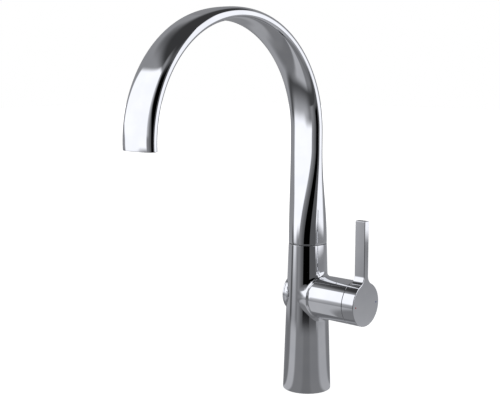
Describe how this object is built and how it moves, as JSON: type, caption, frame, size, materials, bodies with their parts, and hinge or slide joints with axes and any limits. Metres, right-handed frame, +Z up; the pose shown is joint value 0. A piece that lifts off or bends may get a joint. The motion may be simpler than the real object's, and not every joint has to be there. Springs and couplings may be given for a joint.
{
  "type": "kitchen mixer tap",
  "caption": "Deck-mounted chrome kitchen mixer with a tapered body, side lever, side shut-off knob and a tall swivelling ribbon-arc spout.",
  "frame": {"origin": "centre of the round base, on the worktop", "axes": "+Z up along the body and the spout's swivel axis; the spout reaches towards -Y; the lever's hub is on the +X side with its axis along X"},
  "size_m": [0.0992, 0.2619, 0.39],
  "materials": {
    "chrome": "polished chrome plate",
    "brass": "machined brass",
    "copper_tube": null,
    "steel": "plain stainless steel",
    "black_rubber": "matt black rubber",
    "white_plastic": "moulded plastic",
    "grey_plastic": "moulded plastic",
    "ceramic": "lapped ceramic",
    "hose_plastic": "translucent tube",
    "red_paint": "gloss inlay",
    "blue_paint": "gloss inlay"
  },
  "bodies": {
    "body": {"body_shell": "chrome", "deck_seal": "black_rubber", "base_block": "brass", "hot_riser": "copper_tube", "cold_riser": "copper_tube", "appliance_riser": "copper_tube", "mixed_riser": "copper_tube", "valve_block": "brass", "swivel_socket": "brass", "swivel_glide_ring": "grey_plastic", "swivel_stop_screw": "steel", "cartridge_base": "white_plastic", "cartridge_seals": "black_rubber", "cartridge_fixed_disc": "ceramic", "cartridge_housing": "white_plastic", "cartridge_nut": "brass", "headwork_body": "brass", "headwork_gasket": "black_rubber", "headwork_fixed_disc": "ceramic"},
    "temperature_rotor": {"cartridge_rotor": "white_plastic", "rotor_o_ring": "black_rubber", "stem_pivot_pin": "steel", "dome_cover": "chrome"},
    "flow_disc": {"cartridge_moving_disc": "ceramic", "disc_carrier": "grey_plastic"},
    "lever": {"handle": "chrome", "handle_stem": "steel", "handle_grub_screw": "steel", "hot_mark": "red_paint", "cold_mark": "blue_paint"},
    "shut_off": {"valve_knob": "chrome", "headwork_spindle": "brass", "spindle_o_ring": "black_rubber", "headwork_moving_disc": "ceramic"},
    "spout": {"spout_shell": "chrome", "spout_spigot": "brass", "spigot_o_rings": "black_rubber", "spout_hose": "hose_plastic", "hose_ferrule": "steel", "aerator_housing": "grey_plastic", "aerator_gasket": "black_rubber", "aerator_screen": "steel"}
  },
  "joints": [
    {"name": "spout_swivel", "type": "hinge", "parent": "body", "child": "spout", "pos_m": [0, 0, 0.15], "axis": [0, 0, 1], "range_deg": [-60, 60]},
    {"name": "temperature", "type": "hinge", "parent": "body", "child": "temperature_rotor", "pos_m": [0.0379, 0, 0.1004], "axis": [1, 0, 0], "range_deg": [-45, 45]},
    {"name": "flow", "type": "hinge", "parent": "temperature_rotor", "child": "lever", "pos_m": [0.0379, 0, 0.1004], "axis": [0, 1, 0], "range_deg": [0, 25]},
    {"name": "disc_slide", "type": "slide", "parent": "temperature_rotor", "child": "flow_disc", "axis": [0, 0, 1], "range_m": [0, 0.0053]},
    {"name": "shut_off_turn", "type": "hinge", "parent": "body", "child": "shut_off", "pos_m": [0, 0, 0.1004], "axis": [1, 0, 0], "range_deg": [0, 90]}
  ],
  "couplings": [
    {"joint": "disc_slide", "follows": "flow", "m_per_rad": 0.01201}
  ]
}
